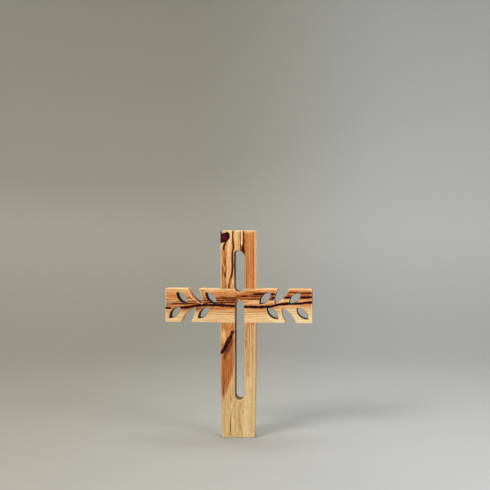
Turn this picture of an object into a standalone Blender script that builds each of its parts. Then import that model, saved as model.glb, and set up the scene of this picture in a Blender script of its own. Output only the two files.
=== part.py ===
"""A pierced olive wood cross: two flat boards halved together where they cross.

The crossbar runs unbroken across the front of the crossing and the upright runs
unbroken across the back of it, so the faces lie flush. A rounded slot is sawn through
the upright above the crossing and a long one below it. Each arm of the crossbar is
pierced with an olive sprig, mirrored left to right, two leaves of which open into its edges.

Metres, +Z up. The front faces -Y. The origin is under the middle of the square-cut foot.
"""

import math

import bmesh
import bpy
from mathutils import Vector
from mathutils.geometry import tessellate_polygon

# Driving dimensions

HEIGHT = 0.203
SPAN = 0.145
THICKNESS = 0.016
UPRIGHT_WIDTH = 0.0347
FOOT_WIDTH = 0.0322
FOOT_TAPER_HEIGHT = 0.068
CROSSBAR_HEIGHT = 0.0336
CROSSBAR_UNDERSIDE = 0.1124
EDGE_BEVEL = 0.0007
FACE_CORNER_RADIUS = 0.0003
JOINT_GAP = 0.0003

# Slots in the upright

SLOT_OFFSET = 0.0015
UPPER_SLOT_WIDTH = 0.0103
WOOD_ABOVE_UPPER_SLOT = 0.0197
UPPER_SLOT_DIP = 0.0032
UPPER_CROWN_SHIFT = 0.0013
UPPER_ARCH_LEFT_RISE = 0.0026
UPPER_ARCH_RIGHT_RISE = 0.0072
LOWER_SLOT_WIDTH = 0.0090
WOOD_BETWEEN_SLOTS = 0.0088
WOOD_BELOW_LOWER_SLOT = 0.0370

# Olive sprig pierced through each arm, as shares of the arm's length and of half its height

LEAVES_EACH_SIDE = 3
OPEN_LEAF = 1
FIRST_STALK_SHARE = 0.072
LEAF_PITCH_SHARE = 0.263
STALK_RISE_SHARE = 0.120
LEAF_REACH_SHARE = 0.195
LEAF_RISE_SHARE = 0.745
LEAF_BELLY_SHARE = 0.205
MOUTH_NEAR_SHARE = 0.085
MOUTH_FAR_SHARE = 0.250
MOUTH_BELLY_NEAR_SHARE = 0.110
MOUTH_BELLY_FAR_SHARE = 0.150

ARC_STEPS = 8
ROUND_STEPS = 12
CORNER_STEPS = 4
SHARP_TURN = math.radians(35)
SMOOTH_ANGLE = math.radians(30)

# Sizes worked out from the driving dimensions

HALF_THICKNESS = THICKNESS / 2
HALF_WIDTH = UPRIGHT_WIDTH / 2
HALF_SPAN = SPAN / 2
HALF_GAP = JOINT_GAP / 2
CORNER_RADIUS = EDGE_BEVEL + FACE_CORNER_RADIUS
ARM_LENGTH = HALF_SPAN - HALF_WIDTH
CROSSBAR_TOP = CROSSBAR_UNDERSIDE + CROSSBAR_HEIGHT
CROSSBAR_MIDDLE = CROSSBAR_UNDERSIDE + CROSSBAR_HEIGHT / 2
UPPER_SLOT_TOP = HEIGHT - WOOD_ABOVE_UPPER_SLOT
UPPER_SLOT_BOTTOM = CROSSBAR_TOP - UPPER_SLOT_DIP
LOWER_SLOT_TOP = UPPER_SLOT_BOTTOM - WOOD_BETWEEN_SLOTS
CUTTER_OVERRUN = THICKNESS

WOOD_COLOUR = (0.62, 0.33, 0.13, 1.0)
CROSSBAR_COLOUR = (0.66, 0.38, 0.17, 1.0)
WOOD_ROUGHNESS = 0.45


def clear_scene():
    for old in list(bpy.data.objects):
        bpy.data.objects.remove(old, do_unlink=True)


def wood_material(name, colour):
    material = bpy.data.materials.new(name)
    material.use_nodes = True
    shader = material.node_tree.nodes["Principled BSDF"]
    shader.inputs["Base Color"].default_value = colour
    shader.inputs["Roughness"].default_value = WOOD_ROUGHNESS
    shader.inputs["Metallic"].default_value = 0.0
    return material


def arc(start, end, bulge):
    """Points of a circular arc, without its end. A positive bulge is to the right of its way."""
    chord = end - start
    half = chord.length / 2
    radius = (half * half + bulge * bulge) / (2 * bulge)
    right = Vector((chord.y, -chord.x)).normalized()
    centre = (start + end) / 2 + right * (bulge - radius)
    turn = 4 * math.atan(bulge / half)
    spoke = start - centre
    across = Vector((-spoke.y, spoke.x))
    points = []
    for step in range(ARC_STEPS):
        angle = turn * step / ARC_STEPS
        points.append(centre + spoke * math.cos(angle) + across * math.sin(angle))
    return points


def rounded(centre_x, centre_z, reach, rise, first, last):
    """Points of an ellipse round the centre, from the first to the last angle in degrees."""
    points = []
    for step in range(ROUND_STEPS + 1):
        angle = math.radians(first + (last - first) * step / ROUND_STEPS)
        points.append(Vector((
            centre_x + reach * math.cos(angle),
            centre_z + rise * math.sin(angle),
        )))
    return points


def upper_slot():
    """Slot with a lopsided arch at its top and a round bottom just below the crossbar's top."""
    radius = UPPER_SLOT_WIDTH / 2
    crown = SLOT_OFFSET - UPPER_CROWN_SHIFT
    to_right = radius + UPPER_CROWN_SHIFT
    to_left = radius - UPPER_CROWN_SHIFT
    right_base = UPPER_SLOT_TOP - UPPER_ARCH_RIGHT_RISE
    left_base = UPPER_SLOT_TOP - UPPER_ARCH_LEFT_RISE
    return (
        rounded(crown, right_base, to_right, UPPER_ARCH_RIGHT_RISE, 0, 90)
        + rounded(crown, left_base, to_left, UPPER_ARCH_LEFT_RISE, 90, 180)[1:]
        + rounded(SLOT_OFFSET, UPPER_SLOT_BOTTOM + radius, radius, radius, 180, 360)
    )


def lower_slot():
    """Long slot with a half-round end at its top and at its bottom."""
    radius = LOWER_SLOT_WIDTH / 2
    return (
        rounded(SLOT_OFFSET, LOWER_SLOT_TOP - radius, radius, radius, 0, 180)
        + rounded(SLOT_OFFSET, WOOD_BELOW_LOWER_SLOT + radius, radius, radius, 180, 360)
    )


def walk(points, start, step, distance):
    """A distance along a closed outline from a point: the place, its heading, the next point."""
    index = start
    remaining = distance
    while True:
        following = (index + step) % len(points)
        run = points[following] - points[index]
        if run.length >= remaining:
            return points[index] + run.normalized() * remaining, run.normalized(), following
        remaining -= run.length
        index = following


def rounded_corner(start, pull_start, pull_end, end):
    """Points of a cubic curve from the start to the end, drawn towards the two pulls."""
    points = []
    for step in range(CORNER_STEPS + 1):
        done = step / CORNER_STEPS
        to_go = 1 - done
        points.append(
            start * to_go ** 3
            + pull_start * (3 * done * to_go ** 2)
            + pull_end * (3 * done ** 2 * to_go)
            + end * done ** 3
        )
    return points


def softened(points):
    """The outline with every sharp outward corner of the wood rounded to CORNER_RADIUS."""
    count = len(points)
    rounded_corners = {}
    dropped = set()
    for index, corner in enumerate(points):
        before = (corner - points[index - 1]).normalized()
        after = (points[(index + 1) % count] - corner).normalized()
        turn = math.atan2(before.x * after.y - before.y * after.x, before.dot(after))
        if turn < SHARP_TURN:
            continue
        trim = CORNER_RADIUS * math.tan(turn / 2)
        start, heading_back, behind = walk(points, index, -1, trim)
        end, heading_on, ahead = walk(points, index, 1, trim)
        bend = (-heading_back).angle(heading_on)
        handle = 4 / 3 * math.tan(bend / 4) * CORNER_RADIUS
        rounded_corners[index] = rounded_corner(
            start, start - heading_back * handle, end - heading_on * handle, end
        )
        skipped = (behind + 1) % count
        while skipped != ahead:
            dropped.add(skipped)
            skipped = (skipped + 1) % count
    result = []
    for index, point in enumerate(points):
        if index in rounded_corners:
            result += rounded_corners[index]
        elif index not in dropped:
            result.append(point)
    return result


def arm_point(along, up):
    """A place on the right arm, from shares of its length and of half its height."""
    return Vector((HALF_WIDTH + along * ARM_LENGTH, CROSSBAR_MIDDLE + up * CROSSBAR_HEIGHT / 2))


def stalk_place(number, side):
    """How far along the arm a leaf starts. Those below the stem sit half a pitch further out."""
    shift = 0 if side > 0 else LEAF_PITCH_SHARE / 2
    return FIRST_STALK_SHARE + number * LEAF_PITCH_SHARE + shift


def leaf(number, side):
    """A pointed leaf above or below the stem: two arcs that meet at the stalk and at the tip."""
    start = stalk_place(number, side)
    stalk = arm_point(start, side * STALK_RISE_SHARE)
    tip = arm_point(start + LEAF_REACH_SHARE, side * LEAF_RISE_SHARE)
    belly = LEAF_BELLY_SHARE * CROSSBAR_HEIGHT / 2
    return arc(stalk, tip, belly) + arc(tip, stalk, belly)


def open_leaf(side):
    """The leaf that opens into the arm's edge, from its near side by its stalk to its far side."""
    start = stalk_place(OPEN_LEAF, side)
    near = arm_point(start + MOUTH_NEAR_SHARE, side)
    stalk = arm_point(start, side * STALK_RISE_SHARE)
    far = arm_point(start + MOUTH_FAR_SHARE, side)
    near_belly = side * MOUTH_BELLY_NEAR_SHARE * CROSSBAR_HEIGHT / 2
    far_belly = side * MOUTH_BELLY_FAR_SHARE * CROSSBAR_HEIGHT / 2
    return arc(near, stalk, near_belly) + arc(stalk, far, far_belly) + [far]


def right_arm_edge():
    """The right arm's outline, from the corner under the arm round to the one above it."""
    under = open_leaf(-1)
    over = open_leaf(1)
    return (
        [arm_point(0, -1)] + under + [arm_point(1, -1), arm_point(1, 1)]
        + list(reversed(over)) + [arm_point(0, 1)]
    )


def mirrored(points):
    """The same outline on the other side of the middle, still going round the same way."""
    return [Vector((-point.x, point.y)) for point in reversed(points)]


def outline():
    """The outer edge of the whole cross, anticlockwise as seen from the front."""
    arm = right_arm_edge()
    foot = FOOT_WIDTH / 2
    return (
        [Vector((-foot, 0)), Vector((foot, 0)), Vector((HALF_WIDTH, FOOT_TAPER_HEIGHT))]
        + arm
        + [Vector((HALF_WIDTH, HEIGHT)), Vector((-HALF_WIDTH, HEIGHT))]
        + mirrored(arm)
        + [Vector((-HALF_WIDTH, FOOT_TAPER_HEIGHT))]
    )


def holes():
    """Every opening sawn through the boards, clockwise as seen from the front."""
    leaves = [
        leaf(number, side)
        for number in range(LEAVES_EACH_SIDE) if number != OPEN_LEAF
        for side in (1, -1)
    ]
    openings = [upper_slot(), lower_slot()] + leaves + [mirrored(points) for points in leaves]
    return [list(reversed(points)) for points in openings]


def inset(points, distance):
    """The outline moved into the wood, which lies on its left, by mitred corners."""
    moved = []
    count = len(points)
    for index, point in enumerate(points):
        before = (point - points[index - 1]).normalized()
        after = (points[(index + 1) % count] - point).normalized()
        left_before = Vector((-before.y, before.x))
        left_after = Vector((-after.y, after.x))
        middle = (left_before + left_after).normalized()
        moved.append(point + middle * (distance / middle.dot(left_after)))
    return moved


def bevelled_board(loops):
    """A closed board with the given outline and holes, bevelled all round on both faces."""
    mesh = bmesh.new()
    depths = (
        (-HALF_THICKNESS, EDGE_BEVEL),
        (-HALF_THICKNESS + EDGE_BEVEL, 0.0),
        (HALF_THICKNESS - EDGE_BEVEL, 0.0),
        (HALF_THICKNESS, EDGE_BEVEL),
    )
    front = []
    back = []
    flat_outlines = []
    for loop in loops:
        rings = []
        for depth, step_in in depths:
            shifted = inset(loop, step_in) if step_in else loop
            rings.append([mesh.verts.new((point.x, depth, point.y)) for point in shifted])
        for ring, following in zip(rings, rings[1:]):
            for index in range(len(ring)):
                after = (index + 1) % len(ring)
                mesh.faces.new((ring[index], following[index], following[after], ring[after]))
        front += rings[0]
        back += rings[-1]
        flat_outlines.append([Vector((vert.co.x, vert.co.z, 0)) for vert in rings[0]])
    for triangle in tessellate_polygon(flat_outlines):
        mesh.faces.new([front[corner] for corner in triangle])
        mesh.faces.new([back[corner] for corner in reversed(triangle)])
    bmesh.ops.recalc_face_normals(mesh, faces=mesh.faces)
    data = bpy.data.meshes.new("cross_board")
    mesh.to_mesh(data)
    mesh.free()
    return data


def prism(name, section, axis, start, end):
    """A hidden cutter: a flat section swept straight along X or Z."""
    mesh = bmesh.new()
    rings = []
    for place in (start, end):
        if axis == "X":
            rings.append([mesh.verts.new((place, y, z)) for y, z in section])
        else:
            rings.append([mesh.verts.new((x, y, place)) for x, y in section])
    mesh.faces.new(rings[0])
    mesh.faces.new(rings[1])
    for index in range(len(section)):
        after = (index + 1) % len(section)
        mesh.faces.new((rings[0][index], rings[0][after], rings[1][after], rings[1][index]))
    bmesh.ops.recalc_face_normals(mesh, faces=mesh.faces)
    data = bpy.data.meshes.new(name)
    mesh.to_mesh(data)
    mesh.free()
    cutter = bpy.data.objects.new(name, data)
    bpy.context.scene.collection.objects.link(cutter)
    cutter.hide_render = True
    cutter.display_type = "WIRE"
    return cutter


def upright_space():
    """What the upright takes of the crossing: all of it but the front half at the crossbar."""
    section = [
        (CUTTER_OVERRUN, -CUTTER_OVERRUN),
        (CUTTER_OVERRUN, HEIGHT + CUTTER_OVERRUN),
        (-CUTTER_OVERRUN, HEIGHT + CUTTER_OVERRUN),
        (-CUTTER_OVERRUN, CROSSBAR_TOP - HALF_GAP),
        (-HALF_GAP, CROSSBAR_TOP - HALF_GAP),
        (-HALF_GAP, CROSSBAR_UNDERSIDE + HALF_GAP),
        (-CUTTER_OVERRUN, CROSSBAR_UNDERSIDE + HALF_GAP),
        (-CUTTER_OVERRUN, -CUTTER_OVERRUN),
    ]
    reach = HALF_WIDTH + HALF_GAP
    return prism("upright_space", section, "X", -reach, reach)


def crossbar_space():
    """What the crossbar takes of the crossing: both arms, and the front half between them."""
    far = HALF_SPAN + CUTTER_OVERRUN
    reach = HALF_WIDTH - HALF_GAP
    section = [
        (-far, -CUTTER_OVERRUN),
        (far, -CUTTER_OVERRUN),
        (far, CUTTER_OVERRUN),
        (reach, CUTTER_OVERRUN),
        (reach, HALF_GAP),
        (-reach, HALF_GAP),
        (-reach, CUTTER_OVERRUN),
        (-far, CUTTER_OVERRUN),
    ]
    return prism(
        "crossbar_space", section, "Z", CROSSBAR_UNDERSIDE - HALF_GAP, CROSSBAR_TOP + HALF_GAP
    )


def sawn_piece(name, board, cutter, colour):
    """One board of the cross: the whole outline less the space of the other board."""
    data = board.copy()
    data.name = name
    piece = bpy.data.objects.new(name, data)
    bpy.context.scene.collection.objects.link(piece)
    piece.data.materials.append(wood_material(name + "_wood", colour))
    cut = piece.modifiers.new("halving", "BOOLEAN")
    cut.operation = "DIFFERENCE"
    cut.solver = "EXACT"
    cut.object = cutter
    return piece


def main():
    clear_scene()
    board = bevelled_board([softened(outline())] + holes())
    board.shade_smooth()
    board.set_sharp_from_angle(angle=SMOOTH_ANGLE)
    sawn_piece("upright", board, crossbar_space(), WOOD_COLOUR)
    sawn_piece("crossbar", board, upright_space(), CROSSBAR_COLOUR)


main()
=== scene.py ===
"""Looks of the olive wood cross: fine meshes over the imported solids, figured wood, a soft studio.

Metres, in the frame's own axes: +Z up the upright, the front faces -Y. The figure of the wood
is laid out in millimetres, along the grain and across it, on the boards themselves.
"""

import math

import bmesh
import bpy
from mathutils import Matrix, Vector, noise


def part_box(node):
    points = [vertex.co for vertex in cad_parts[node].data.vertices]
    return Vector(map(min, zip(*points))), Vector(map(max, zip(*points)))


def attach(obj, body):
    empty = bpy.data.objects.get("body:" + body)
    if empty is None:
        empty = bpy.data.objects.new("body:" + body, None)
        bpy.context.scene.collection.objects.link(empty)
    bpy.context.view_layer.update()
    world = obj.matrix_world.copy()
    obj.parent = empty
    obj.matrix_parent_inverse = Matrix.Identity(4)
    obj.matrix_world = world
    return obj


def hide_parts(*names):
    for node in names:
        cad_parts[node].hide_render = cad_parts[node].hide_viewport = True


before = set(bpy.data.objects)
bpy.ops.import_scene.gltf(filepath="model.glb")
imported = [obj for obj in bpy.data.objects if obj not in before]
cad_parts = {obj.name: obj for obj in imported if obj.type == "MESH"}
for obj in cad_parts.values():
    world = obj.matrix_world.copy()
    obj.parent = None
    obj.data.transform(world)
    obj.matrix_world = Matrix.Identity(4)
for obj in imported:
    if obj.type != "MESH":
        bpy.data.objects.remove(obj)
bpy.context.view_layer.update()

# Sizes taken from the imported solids

_, upright_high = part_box("upright")
crossbar_low, crossbar_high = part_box("crossbar")

HEIGHT = upright_high.z
HALF_WIDTH = upright_high.x
HALF_SPAN = crossbar_high.x
HALF_THICKNESS = upright_high.y
CROSSBAR_UNDERSIDE = crossbar_low.z
CROSSBAR_TOP = crossbar_high.z
CROSSBAR_HEIGHT = CROSSBAR_TOP - CROSSBAR_UNDERSIDE
CROSSBAR_MIDDLE = (CROSSBAR_TOP + CROSSBAR_UNDERSIDE) / 2
ARM_LENGTH = HALF_SPAN - HALF_WIDTH

# Sizes repeated from the part's source

FOOT_WIDTH = 0.0322
FOOT_TAPER_HEIGHT = 0.068
SLOT_OFFSET = 0.0015
UPPER_SLOT_WIDTH = 0.0103
WOOD_ABOVE_UPPER_SLOT = 0.0197
UPPER_SLOT_DIP = 0.0032
UPPER_CROWN_SHIFT = 0.0013
UPPER_ARCH_LEFT_RISE = 0.0026
UPPER_ARCH_RIGHT_RISE = 0.0072
LOWER_SLOT_WIDTH = 0.0090
WOOD_BETWEEN_SLOTS = 0.0088
WOOD_BELOW_LOWER_SLOT = 0.0370

LEAVES_EACH_SIDE = 3
OPEN_LEAF = 1
FIRST_STALK_SHARE = 0.072
LEAF_PITCH_SHARE = 0.263
STALK_RISE_SHARE = 0.120
LEAF_REACH_SHARE = 0.195
LEAF_RISE_SHARE = 0.745
LEAF_BELLY_SHARE = 0.205
MOUTH_NEAR_SHARE = 0.085
MOUTH_FAR_SHARE = 0.250
MOUTH_BELLY_NEAR_SHARE = 0.110
MOUTH_BELLY_FAR_SHARE = 0.150

UPPER_SLOT_TOP = HEIGHT - WOOD_ABOVE_UPPER_SLOT
UPPER_SLOT_BOTTOM = CROSSBAR_TOP - UPPER_SLOT_DIP
LOWER_SLOT_TOP = UPPER_SLOT_BOTTOM - WOOD_BETWEEN_SLOTS

# Finish of the edges and of the halved joint, finer than in the solids

EDGE_RADIUS = 0.0009
CORNER_RADIUS = 0.0013
SHARP_TURN = math.radians(35)
SMOOTH_ANGLE = math.radians(35)
FLAT_MARGIN = 0.0001
SAW_WOBBLE = 0.00010
SAW_WOBBLE_LENGTH = 0.0035
HALF_JOINT_GAP = 0.00004
CUTTER_OVERRUN = 0.020

# How closely the meshes are divided

POINT_SPACING = 0.0008
SHORTEST_EDGE = 0.00002
WALL_BANDS = 6
EDGE_STEPS = 4
ARC_STEPS = 16
ROUND_STEPS = 24
CORNER_STEPS = 6

# Mesh attributes the wood reads, and how much each kind of sawn wall is darkened as scorch and
# painted shade

# Rounded edges painted paler, partly as wear and partly as a painted highlight
WORN_AND_HIGHLIT_EDGE = "worn_and_highlit_edge"
SAWN_WALL = "sawn_wall"
SLOT_SCORCH_AND_SHADE = 0.55
LEAF_SCORCH_AND_SHADE = 0.95
OUTSIDE_SCORCH_AND_SHADE = 0.0


# Outlines, as x and z on the front face


def arc(start, end, bulge):
    """Points of a circular arc, without its end. A positive bulge is to the right of its way."""
    chord = end - start
    half = chord.length / 2
    radius = (half * half + bulge * bulge) / (2 * bulge)
    right = Vector((chord.y, -chord.x)).normalized()
    centre = (start + end) / 2 + right * (bulge - radius)
    turn = 4 * math.atan(bulge / half)
    spoke = start - centre
    across = Vector((-spoke.y, spoke.x))
    points = []
    for step in range(ARC_STEPS):
        angle = turn * step / ARC_STEPS
        points.append(centre + spoke * math.cos(angle) + across * math.sin(angle))
    return points


def rounded(centre_x, centre_z, reach, rise, first, last):
    """Points of an ellipse round the centre, from the first to the last angle in degrees."""
    points = []
    for step in range(ROUND_STEPS + 1):
        angle = math.radians(first + (last - first) * step / ROUND_STEPS)
        points.append(Vector((
            centre_x + reach * math.cos(angle),
            centre_z + rise * math.sin(angle),
        )))
    return points


def upper_slot():
    """Slot with a lopsided arch at its top and a round bottom just below the crossbar's top."""
    radius = UPPER_SLOT_WIDTH / 2
    crown = SLOT_OFFSET - UPPER_CROWN_SHIFT
    to_right = radius + UPPER_CROWN_SHIFT
    to_left = radius - UPPER_CROWN_SHIFT
    right_base = UPPER_SLOT_TOP - UPPER_ARCH_RIGHT_RISE
    left_base = UPPER_SLOT_TOP - UPPER_ARCH_LEFT_RISE
    return (
        rounded(crown, right_base, to_right, UPPER_ARCH_RIGHT_RISE, 0, 90)
        + rounded(crown, left_base, to_left, UPPER_ARCH_LEFT_RISE, 90, 180)[1:]
        + rounded(SLOT_OFFSET, UPPER_SLOT_BOTTOM + radius, radius, radius, 180, 360)
    )


def lower_slot():
    """Long slot with a half-round end at its top and at its bottom."""
    radius = LOWER_SLOT_WIDTH / 2
    return (
        rounded(SLOT_OFFSET, LOWER_SLOT_TOP - radius, radius, radius, 0, 180)
        + rounded(SLOT_OFFSET, WOOD_BELOW_LOWER_SLOT + radius, radius, radius, 180, 360)
    )


def walk(points, start, step, distance):
    """A distance along a closed outline from a point: the place, its heading, the next point."""
    index = start
    remaining = distance
    while True:
        following = (index + step) % len(points)
        run = points[following] - points[index]
        if run.length >= remaining:
            return points[index] + run.normalized() * remaining, run.normalized(), following
        remaining -= run.length
        index = following


def rounded_corner(start, pull_start, pull_end, end):
    """Points of a cubic curve from the start to the end, drawn towards the two pulls."""
    points = []
    for step in range(CORNER_STEPS + 1):
        done = step / CORNER_STEPS
        to_go = 1 - done
        points.append(
            start * to_go ** 3
            + pull_start * (3 * done * to_go ** 2)
            + pull_end * (3 * done ** 2 * to_go)
            + end * done ** 3
        )
    return points


def softened(points):
    """The outline with every sharp outward corner of the wood rounded to CORNER_RADIUS."""
    count = len(points)
    rounded_corners = {}
    dropped = set()
    for index, corner in enumerate(points):
        before = (corner - points[index - 1]).normalized()
        after = (points[(index + 1) % count] - corner).normalized()
        turn = math.atan2(before.x * after.y - before.y * after.x, before.dot(after))
        if turn < SHARP_TURN:
            continue
        trim = CORNER_RADIUS * math.tan(turn / 2)
        start, heading_back, behind = walk(points, index, -1, trim)
        end, heading_on, ahead = walk(points, index, 1, trim)
        bend = (-heading_back).angle(heading_on)
        handle = 4 / 3 * math.tan(bend / 4) * CORNER_RADIUS
        rounded_corners[index] = rounded_corner(
            start, start - heading_back * handle, end - heading_on * handle, end
        )
        skipped = (behind + 1) % count
        while skipped != ahead:
            dropped.add(skipped)
            skipped = (skipped + 1) % count
    result = []
    for index, point in enumerate(points):
        if index in rounded_corners:
            result += rounded_corners[index]
        elif index not in dropped:
            result.append(point)
    return result


def arm_point(along, up):
    """A place on the right arm, from shares of its length and of half its height."""
    return Vector((HALF_WIDTH + along * ARM_LENGTH, CROSSBAR_MIDDLE + up * CROSSBAR_HEIGHT / 2))


def stalk_place(number, side):
    """How far along the arm a leaf starts. Those below the stem sit half a pitch further out."""
    shift = 0 if side > 0 else LEAF_PITCH_SHARE / 2
    return FIRST_STALK_SHARE + number * LEAF_PITCH_SHARE + shift


def leaf(number, side):
    """A pointed leaf above or below the stem: two arcs that meet at the stalk and at the tip."""
    start = stalk_place(number, side)
    stalk = arm_point(start, side * STALK_RISE_SHARE)
    tip = arm_point(start + LEAF_REACH_SHARE, side * LEAF_RISE_SHARE)
    belly = LEAF_BELLY_SHARE * CROSSBAR_HEIGHT / 2
    return arc(stalk, tip, belly) + arc(tip, stalk, belly)


def open_leaf(side):
    """The leaf that opens into the arm's edge, from its near side by its stalk to its far side."""
    start = stalk_place(OPEN_LEAF, side)
    near = arm_point(start + MOUTH_NEAR_SHARE, side)
    stalk = arm_point(start, side * STALK_RISE_SHARE)
    far = arm_point(start + MOUTH_FAR_SHARE, side)
    near_belly = side * MOUTH_BELLY_NEAR_SHARE * CROSSBAR_HEIGHT / 2
    far_belly = side * MOUTH_BELLY_FAR_SHARE * CROSSBAR_HEIGHT / 2
    return arc(near, stalk, near_belly) + arc(stalk, far, far_belly) + [far]


def right_arm_edge():
    """The right arm's outline, from the corner under the arm round to the one above it."""
    under = open_leaf(-1)
    over = open_leaf(1)
    return (
        [arm_point(0, -1)] + under + [arm_point(1, -1), arm_point(1, 1)]
        + list(reversed(over)) + [arm_point(0, 1)]
    )


def mirrored(points):
    """The same outline on the other side of the middle, still going round the same way."""
    return [Vector((-point.x, point.y)) for point in reversed(points)]


def outline():
    """The outer edge of the whole cross, anticlockwise as seen from the front."""
    arm = right_arm_edge()
    foot = FOOT_WIDTH / 2
    return (
        [Vector((-foot, 0)), Vector((foot, 0)), Vector((HALF_WIDTH, FOOT_TAPER_HEIGHT))]
        + arm
        + [Vector((HALF_WIDTH, HEIGHT)), Vector((-HALF_WIDTH, HEIGHT))]
        + mirrored(arm)
        + [Vector((-HALF_WIDTH, FOOT_TAPER_HEIGHT))]
    )


def openings():
    """Each opening sawn through the boards, clockwise as seen from the front, with its scorch and
    painted shade.
    """
    leaves = [
        leaf(number, side)
        for number in range(LEAVES_EACH_SIDE) if number != OPEN_LEAF
        for side in (1, -1)
    ]
    leaves += [mirrored(points) for points in leaves]
    return (
        [(list(reversed(points)), SLOT_SCORCH_AND_SHADE) for points in (upper_slot(), lower_slot())]
        + [(list(reversed(points)), LEAF_SCORCH_AND_SHADE) for points in leaves]
    )


def closely_spaced(points):
    """The outline with points added so that none are further apart than POINT_SPACING."""
    result = []
    for index, point in enumerate(points):
        run = points[(index + 1) % len(points)] - point
        parts = max(1, math.ceil(run.length / POINT_SPACING))
        result += [point + run * (part / parts) for part in range(parts)]
    return result


def inward(points):
    """For each point of the outline, the way into the wood and how far its mitre stretches."""
    ways = []
    count = len(points)
    for index, point in enumerate(points):
        before = (point - points[index - 1]).normalized()
        after = (points[(index + 1) % count] - point).normalized()
        left_before = Vector((-before.y, before.x))
        left_after = Vector((-after.y, after.x))
        middle = (left_before + left_after).normalized()
        ways.append(middle / middle.dot(left_after))
    return ways


# Meshes


def edge_profile():
    """The board's edge front to back: depth, step into the wood, worn edge and painted highlight,
    sawn wall.
    """
    half_round = []
    for step in range(EDGE_STEPS + 1):
        angle = math.pi / 2 * step / EDGE_STEPS
        depth = EDGE_RADIUS * (1 - math.sin(angle))
        step_in = EDGE_RADIUS * (1 - math.cos(angle))
        half_round.append((HALF_THICKNESS - depth, step_in))
    front = [(-HALF_THICKNESS, EDGE_RADIUS + FLAT_MARGIN, 0.0, 0.0)]
    for depth, step_in in reversed(half_round):
        inner = step_in / EDGE_RADIUS
        # How much paler the edge is painted, most part way round: partly wear, partly a painted
        # highlight
        worn_and_highlit = (math.sin(math.pi * inner) + inner) / 2
        front.append((-depth, step_in, worn_and_highlit, 1.0 - inner))
    wall_depth = HALF_THICKNESS - EDGE_RADIUS
    walls = [
        (wall_depth * (2 * band / WALL_BANDS - 1), 0.0, 0.0, 1.0)
        for band in range(1, WALL_BANDS)
    ]
    back = [(-depth, step_in, edge, wall) for depth, step_in, edge, wall in reversed(front)]
    return front + walls + back


def fine_board(outer, sawn_openings):
    """A closed board with rounded edges all round, in rings of closely spaced points."""
    mesh = bmesh.new()
    worn_and_highlit = mesh.verts.layers.float.new(WORN_AND_HIGHLIT_EDGE)
    sawn = mesh.verts.layers.float.new(SAWN_WALL)
    front_rings = []
    back_rings = []
    for loop, scorch_and_shade in [(outer, OUTSIDE_SCORCH_AND_SHADE)] + sawn_openings:
        is_opening = loop is not outer
        points = closely_spaced(loop)
        ways = inward(points)
        rings = []
        for depth, step_in, edge, wall in edge_profile():
            ring = []
            for point, way in zip(points, ways):
                wobble = 0.0
                if is_opening:
                    place = Vector((point.x, depth / 2, point.y)) / SAW_WOBBLE_LENGTH
                    wobble = SAW_WOBBLE * noise.noise(place)
                shifted = point + way * (step_in + wobble)
                vert = mesh.verts.new((shifted.x, depth, shifted.y))
                vert[worn_and_highlit] = edge
                vert[sawn] = wall * scorch_and_shade
                ring.append(vert)
            rings.append(ring)
        for ring, following in zip(rings, rings[1:]):
            for index in range(len(ring)):
                after = (index + 1) % len(ring)
                mesh.faces.new((ring[index], following[index], following[after], ring[after]))
        front_rings.append(rings[0])
        back_rings.append(rings[-1])
    for face_rings in (front_rings, back_rings):
        rims = [
            mesh.edges.get((vert, ring[index - 1]))
            for ring in face_rings
            for index, vert in enumerate(ring)
        ]
        bmesh.ops.triangle_fill(mesh, use_beauty=True, use_dissolve=False, edges=rims)
    bmesh.ops.recalc_face_normals(mesh, faces=mesh.faces)
    if mesh.calc_volume(signed=True) < 0:
        bmesh.ops.reverse_faces(mesh, faces=mesh.faces)
    data = bpy.data.meshes.new("fine_board")
    mesh.to_mesh(data)
    mesh.free()
    data.shade_smooth()
    return data


def prism(name, section, axis, start, end):
    """A cutter: a flat section swept straight along X or Z."""
    mesh = bmesh.new()
    rings = []
    for place in (start, end):
        if axis == "X":
            rings.append([mesh.verts.new((place, y, z)) for y, z in section])
        else:
            rings.append([mesh.verts.new((x, y, place)) for x, y in section])
    mesh.faces.new(rings[0])
    mesh.faces.new(rings[1])
    for index in range(len(section)):
        after = (index + 1) % len(section)
        mesh.faces.new((rings[0][index], rings[0][after], rings[1][after], rings[1][index]))
    bmesh.ops.recalc_face_normals(mesh, faces=mesh.faces)
    data = bpy.data.meshes.new(name)
    mesh.to_mesh(data)
    mesh.free()
    cutter = bpy.data.objects.new(name, data)
    bpy.context.scene.collection.objects.link(cutter)
    return cutter


def upright_space():
    """What the upright takes of the crossing: all of it but the front half at the crossbar."""
    section = [
        (CUTTER_OVERRUN, -CUTTER_OVERRUN),
        (CUTTER_OVERRUN, HEIGHT + CUTTER_OVERRUN),
        (-CUTTER_OVERRUN, HEIGHT + CUTTER_OVERRUN),
        (-CUTTER_OVERRUN, CROSSBAR_TOP - HALF_JOINT_GAP),
        (-HALF_JOINT_GAP, CROSSBAR_TOP - HALF_JOINT_GAP),
        (-HALF_JOINT_GAP, CROSSBAR_UNDERSIDE + HALF_JOINT_GAP),
        (-CUTTER_OVERRUN, CROSSBAR_UNDERSIDE + HALF_JOINT_GAP),
        (-CUTTER_OVERRUN, -CUTTER_OVERRUN),
    ]
    reach = HALF_WIDTH + HALF_JOINT_GAP
    return prism("upright_space", section, "X", -reach, reach)


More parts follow.
